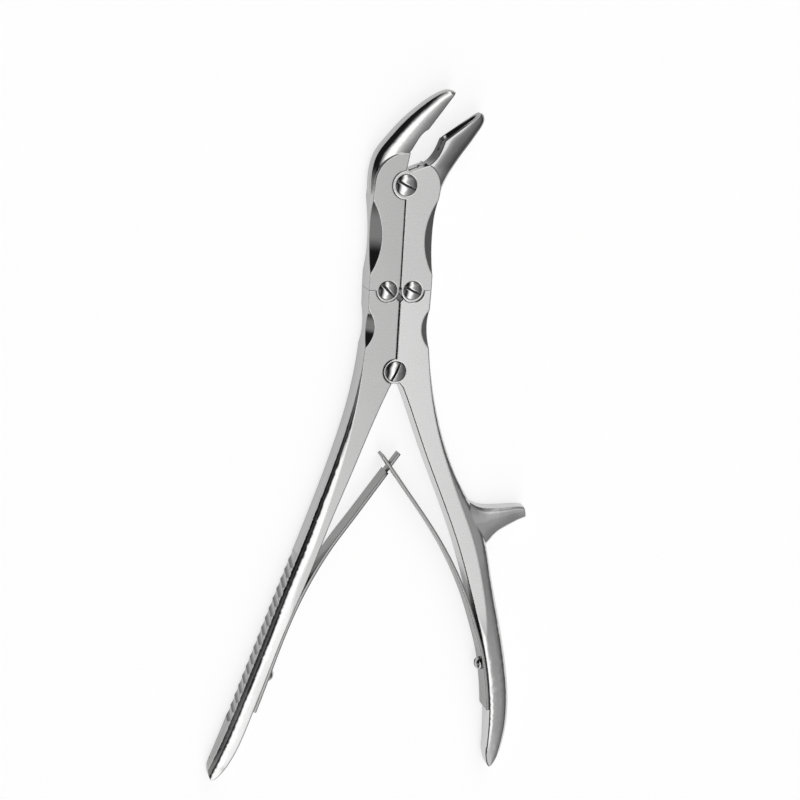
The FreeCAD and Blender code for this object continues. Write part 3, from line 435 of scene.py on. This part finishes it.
# Half section: distance from the axis and height over the handle's seat, in millimetres
SCREW_SECTION = (
    (0.0, 3.7), (0.9, 3.62), (1.7, 3.3), (2.3, 2.75), (2.6, 2.1), (2.6, 1.25), (1.4, 1.25),
    (1.4, -4.0), (0.0, -4.0),
)
SCREW_TOP = SCREW_SECTION[0][1] * MM
SCREW_FACETS = 40
SCREW_SLOT = (8.0 * MM, 0.7 * MM, 1.8 * MM)


def spring_screw(side, seat, outward):
    turned = bmesh.new()
    points = [turned.verts.new((radius * MM, 0, height * MM)) for radius, height in SCREW_SECTION]
    lines = [turned.edges.new(pair) for pair in zip(points, points[1:])]
    bmesh.ops.spin(
        turned, geom=points + lines, axis=(0, 0, 1), cent=(0, 0, 0),
        angle=math.tau, steps=SCREW_FACETS,
    )
    bmesh.ops.remove_doubles(turned, verts=turned.verts, dist=WELD_DISTANCE)
    bmesh.ops.recalc_face_normals(turned, faces=turned.faces)
    screw = mesh_object(f"{side}_slotted_screw", turned)
    bar = bmesh.new()
    slot = Matrix.Translation((0, 0, SCREW_TOP)) @ Matrix.Diagonal((*SCREW_SLOT, 1))
    bmesh.ops.create_cube(bar, size=1, matrix=slot)
    cutter = mesh_object("slot", bar)
    cut = screw.modifiers.new("slot", "BOOLEAN")
    cut.object = cutter
    cut.operation = "DIFFERENCE"
    cut.solver = "EXACT"
    slotted = screw.evaluated_get(bpy.context.evaluated_depsgraph_get())
    finished = bpy.data.meshes.new_from_object(slotted)
    screw.modifiers.clear()
    screw.data = finished
    bpy.data.objects.remove(cutter)
    turn = outward.normalized().to_track_quat("Z", "Y").to_matrix().to_4x4()
    finished.transform(Matrix.Translation(seat) @ turn)
    shade(screw, SCREW_STEEL)
    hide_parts(f"{side}_spring_screw")
    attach(screw, f"{side}_handle")


for screw_side, (seat, outward) in SPRING_SCREWS.items():
    spring_screw(screw_side, seat, outward)


# Studio

FLOOR_SIZE = 3.0
FLOOR_COLOUR = (0.4, 0.4, 0.4, 1)
FLOOR_GLOW = 0.74
FLOOR_GLOW_IN_STEEL = 0.55

# How bright the studio is in each direction from left, at -1, over the ceiling to right, at 1
STUDIO_TONES = (
    (-1.0, 0.02), (-0.75, 0.02), (-0.5, 0.02), (-0.41, 0.06), (-0.31, 0.6), (-0.22, 1.5),
    (-0.14, 2.2), (0.06, 2.2), (0.18, 1.1), (0.27, 0.84), (0.34, 0.66), (0.44, 0.48),
    (0.6, 0.34), (0.95, 0.15),
)
HORIZON = 0.16

# Beyond the jaws the tones lie further right, and the right side is darker
FAR_LEFT_ALONG = (0.1, 0.6)
FAR_LEFT_SHIFT = 0.22
FAR_RIGHT_ACROSS = (0.1, 0.42)
FAR_RIGHT_ALONG = (0.35, 0.6)
FAR_RIGHT_SHADE = 0.35

# A dim patch of the left wall, beside the handles
WALL_ACROSS = (-0.75, -0.5)
WALL_FAR_END = (0.1, -0.2)
WALL_NEAR_END = (-0.8, -0.45)
WALL_GLOW = 0.4

# A soft key light, in front of the handles
KEY_DIRECTION = Vector((0.1, -0.45, 0.89)).normalized()
KEY_GLOW = 0.9
KEY_SPREAD = (0.965, 0.995)

# A large, weak fill light
FILL_PLACE = Vector((0.6, 0.2, 1.4))
FILL_SIZE = 1.6
FILL_POWER = 0.5


def white_floor():
    """A pale floor that reads as white, and keeps the object's shadow."""
    shader = Shader(bpy.data.materials.new("floor"))
    path = shader.add("LightPath")
    direct = shader.product(path.outputs["Is Camera Ray"], FLOOR_GLOW)
    mirrored = shader.product(path.outputs["Is Glossy Ray"], FLOOR_GLOW_IN_STEEL)
    diffuse = shader.add("BsdfDiffuse", Color=FLOOR_COLOUR)
    strength = shader.math("MAXIMUM", direct, mirrored)
    glow = shader.add("Emission", Color=(1, 1, 1, 1), Strength=strength)
    both = shader.add("AddShader")
    shader.tree.links.new(diffuse.outputs[0], both.inputs[0])
    shader.tree.links.new(glow.outputs[0], both.inputs[1])
    mesh = bpy.data.meshes.new("floor")
    half = FLOOR_SIZE / 2
    level = CAD_BOX[0][2]
    corners = [(x * half, y * half, level) for x, y in ((-1, -1), (1, -1), (1, 1), (-1, 1))]
    mesh.from_pydata(corners, [], [(0, 1, 2, 3)])
    mesh.materials.append(shader.surface(both.outputs[0]))
    floor = bpy.data.objects.new("floor", mesh)
    bpy.context.collection.objects.link(floor)


def fill_light():
    lamp = bpy.data.lights.new("fill", "AREA")
    lamp.shape = "RECTANGLE"
    lamp.size = lamp.size_y = FILL_SIZE
    lamp.energy = FILL_POWER
    obj = bpy.data.objects.new("fill", lamp)
    obj.location = FILL_PLACE
    obj.rotation_euler = FILL_PLACE.to_track_quat("Z", "Y").to_euler()
    bpy.context.collection.objects.link(obj)


def studio_world():
    """Soft boxes overhead between dark walls, which polished edges pick up as black lines."""
    world = Shader(bpy.data.worlds.new("studio"))
    direction = world.add("TexCoord").outputs["Generated"]
    across, along, up = world.split(direction)
    shift = world.product(world.ramp(along, *FAR_LEFT_ALONG), FAR_LEFT_SHIFT)
    shifted = world.math("SUBTRACT", across, shift)
    tones = world.add("ValToRGB", Fac=world.ramp(shifted, -1.0, 1.0, steps="LINEAR"))
    tones.color_ramp.interpolation = "EASE"
    elements = tones.color_ramp.elements
    while len(elements) < len(STUDIO_TONES):
        elements.new(0.5)
    peak = max(tone for _, tone in STUDIO_TONES)
    for element, (lean, tone) in zip(elements, STUDIO_TONES):
        element.position = (lean + 1) / 2
        element.color = (tone / peak, tone / peak, tone / peak, 1)
    far_right = world.product(
        world.ramp(across, *FAR_RIGHT_ACROSS), world.ramp(along, *FAR_RIGHT_ALONG)
    )
    ceiling = world.product(
        tones.outputs[0],
        world.ramp(up, 0.0, HORIZON, 0.0, peak),
        world.ramp(far_right, 0.0, 1.0, 1.0, FAR_RIGHT_SHADE),
    )
    wall = world.product(
        world.ramp(across, *WALL_ACROSS, 1.0, 0.0),
        world.ramp(along, *WALL_FAR_END),
        world.ramp(along, *WALL_NEAR_END),
        WALL_GLOW,
    )
    towards_key = world.vector("DOT_PRODUCT", direction, KEY_DIRECTION)["Value"]
    key = world.ramp(towards_key, *KEY_SPREAD, 0.0, KEY_GLOW)
    light = world.math("ADD", world.math("ADD", ceiling, wall), key)
    seen = world.add("LightPath").outputs["Is Camera Ray"]
    sky = world.add("Background", Strength=world.math("MAXIMUM", light, seen))
    bpy.context.scene.world = world.surface(sky.outputs[0], "OutputWorld")


def camera():
    data = bpy.data.cameras.new("camera")
    data.lens = CAMERA_LENS
    data.sensor_width = CAMERA_SENSOR
    data.sensor_fit = "HORIZONTAL"
    data.clip_start = CAMERA_CLIP
    level_right = Vector((0, 1, 0)).cross(CAMERA_DIRECTION).normalized()
    level_up = CAMERA_DIRECTION.cross(level_right)
    right = level_right * math.cos(CAMERA_ROLL) + level_up * math.sin(CAMERA_ROLL)
    up = level_up * math.cos(CAMERA_ROLL) - level_right * math.sin(CAMERA_ROLL)
    turn = Matrix((right, up, CAMERA_DIRECTION)).transposed().to_4x4()
    obj = bpy.data.objects.new("camera", data)
    place = CAMERA_TARGET + CAMERA_DIRECTION * CAMERA_DISTANCE
    obj.matrix_world = Matrix.Translation(place) @ turn
    bpy.context.collection.objects.link(obj)
    bpy.context.scene.camera = obj


white_floor()
studio_world()
camera()
fill_light()

bpy.context.scene.view_settings.view_transform = "Standard"
